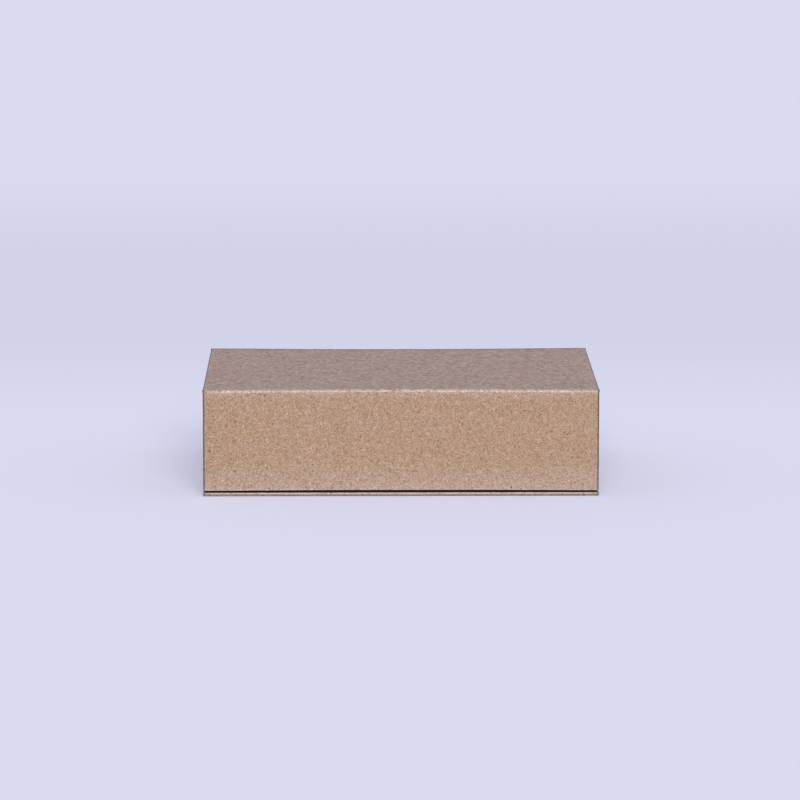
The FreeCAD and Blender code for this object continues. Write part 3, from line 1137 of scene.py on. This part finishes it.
def stand(thing, place, turn):
    """Puts a lamp or the camera in the scene."""
    holder = bpy.data.objects.new(thing.name, thing)
    bpy.context.scene.collection.objects.link(holder)
    holder.location, holder.rotation_euler = place, turn
    return holder


def soft_lamp(name, place, level, spread, tint):
    """A far, wide lamp. Its level is what a white face square to it would show."""
    lamp = bpy.data.lights.new(name, "SUN")
    lamp.energy, lamp.angle, lamp.color = level * math.pi, math.radians(spread), tint
    toward = Vector(LAMP_TARGET) - Vector(place)
    stand(lamp, place, toward.to_track_quat("-Z", "Y").to_euler())


def studio_camera():
    """The camera, which sees the box from the front and a little above."""
    camera = bpy.data.cameras.new("camera")
    camera.lens, camera.sensor_width = LENS, SENSOR
    camera.clip_start, camera.clip_end = 0.1, 40.0
    bpy.context.scene.camera = stand(camera, CAMERA_PLACE, (CAMERA_TILT, 0, CAMERA_TURN))


# Operators


class BOX_OT_stage(bpy.types.Operator):
    """Sets up the floor, the world, the soft lamps and the camera"""

    bl_idname = "box.stage"
    bl_label = "Studio"

    def execute(self, context):
        context.scene.view_settings.view_transform = "Standard"
        studio_floor()
        studio_world()
        for lamp in LAMPS:
            soft_lamp(*lamp)
        studio_camera()
        return {"FINISHED"}


class BOX_OT_covers(bpy.types.Operator):
    """Wraps the lid, the flap, the base and the spine in cover paper"""

    bl_idname = "box.covers"
    bl_label = "Panel covers"

    def execute(self, context):
        loose, standing = cages()
        ready(lid_cover(loose), "kraft_cover", "lid", ["lid_wrap"])
        ready(flap_cover(loose), "kraft_cover", "flap", ["flap_wrap"])
        ready(case_cover(standing), "kraft_cover", "case", ["base_wrap", "spine_wrap"])
        return {"FINISHED"}


class BOX_OT_folds(bpy.types.Operator):
    """Lays cover paper and lining over the two folds that move"""

    bl_idname = "box.folds"
    bl_label = "Folds"

    def execute(self, context):
        # Both folds turn about -X, and the paper goes round the outside of the fold
        loose, standing = cages()
        y, z = size.back_fold_y, size.lid_fold_z
        strip = fold_strip("rear_fold", y, z, -90, standing)
        piece = ready(strip, "kraft_cover", stands_for=["lid_hinge_wrap"])
        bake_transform(piece)
        piece = ready(rear_fold_liner(standing), "kraft_lining", stands_for=["lid_hinge_lining"])
        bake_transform(piece)
        y = size.front_fold_y
        strip = fold_strip("front_fold", y, z, 0, loose)
        piece = ready(strip, "kraft_cover", stands_for=["flap_hinge_wrap"])
        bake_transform(piece)
        # Its lining bends in a narrower stretch, to clear the tray's rim as the flap opens
        piece = ready(front_fold_liner(loose), "kraft_lining", stands_for=["flap_hinge_lining"])
        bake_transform(piece)
        return {"FINISHED"}


class BOX_OT_linings(bpy.types.Operator):
    """Lines the inner faces of the lid and the flap"""

    bl_idname = "box.linings"
    bl_label = "Linings"

    def execute(self, context):
        loose = cages()[0]
        ready(lid_liner(loose), "kraft_lining", "lid", ["lid_lining"])
        ready(flap_liner(loose), "kraft_lining", "flap", ["flap_lining"])
        return {"FINISHED"}


class BOX_OT_boards(bpy.types.Operator):
    """Makes the boards that bow with their covers"""

    bl_idname = "box.boards"
    bl_label = "Boards"

    def execute(self, context):
        loose, standing = cages()
        magnets = ["flap_magnet_left", "flap_magnet_right"]
        ready(base_core(), "greyboard", "case", ["base_board"])
        for name, node, body, rows_axis, rows, bow, pockets in (
            ("lid_core", "lid_board", "lid", 1, 12, loose, []),
            ("flap_core", "flap_board", "flap", 2, 5, loose, magnets),
            ("spine_core", "spine_board", "case", 2, 5, standing, []),
            ("back_wall_core", "tray_back_wall", "case", 2, 5, standing, []),
        ):
            board = cut_pockets(core(name, node, rows_axis, rows, bow), pockets)
            ready(board, "greyboard", body, [node])
        return {"FINISHED"}


class BOX_OT_tray(bpy.types.Operator):
    """Wraps the tray in paper"""

    bl_idname = "box.tray"
    bl_label = "Tray paper"

    def execute(self, context):
        standing = cages()[1]
        ready(tray_paper(standing), "kraft_cover", "case", ["tray_wrap"])
        return {"FINISHED"}


class BOX_OT_nodes(bpy.types.Operator):
    """Gives the parts that come straight from the model their materials"""

    bl_idname = "box.nodes"
    bl_label = "Carried-over parts"

    def execute(self, context):
        slots = {part["node"]: part["material_slot"] for part in frame["record"]["subparts"]}
        for name, node in frame["nodes"].items():
            if name not in slots:
                raise RuntimeError(f"{name} has no material slot")
            material = finish_of(slots[name], on_nodes=True)
            if not node.material_slots:
                node.data.materials.append(material)
            for slot in node.material_slots:
                slot.material = material
        return {"FINISHED"}


GROUPS = {"box_sizes": BoxSizes, "box_colours": BoxColours, "paper_wear": PaperWearAndLight}
STEPS = (
    BOX_OT_stage, BOX_OT_covers, BOX_OT_folds, BOX_OT_linings, BOX_OT_boards, BOX_OT_tray,
    BOX_OT_nodes,
)


class BOX_PT_build(bpy.types.Panel):
    """Lists the box's sizes, its colours, the paper's finish with its painted light and shade,
    and the steps that build it
    """

    bl_idname = "BOX_PT_build"
    bl_label = "Kraft box"
    bl_space_type = "VIEW_3D"
    bl_region_type = "UI"
    bl_category = "Kraft Box"

    def draw(self, context):
        layout = self.layout
        for group_name, group in GROUPS.items():
            column = layout.column()
            for name in group.__annotations__:
                column.prop(getattr(context.scene, group_name), name)
        for step in STEPS:
            layout.operator(step.bl_idname)


CLASSES = (*GROUPS.values(), *STEPS, BOX_PT_build)


def register():
    for cls in CLASSES:
        bpy.utils.register_class(cls)
    for name, group in GROUPS.items():
        setattr(bpy.types.Scene, name, PointerProperty(type=group))


def unregister():
    for name in GROUPS:
        delattr(bpy.types.Scene, name)
    for cls in reversed(CLASSES):
        bpy.utils.unregister_class(cls)


def main():
    register()
    for step in STEPS:
        group, name = step.bl_idname.split(".")
        getattr(getattr(bpy.ops, group), name)()
    for cage in cages():
        bpy.data.objects.remove(cage)


if __name__ == "__main__":
    main()
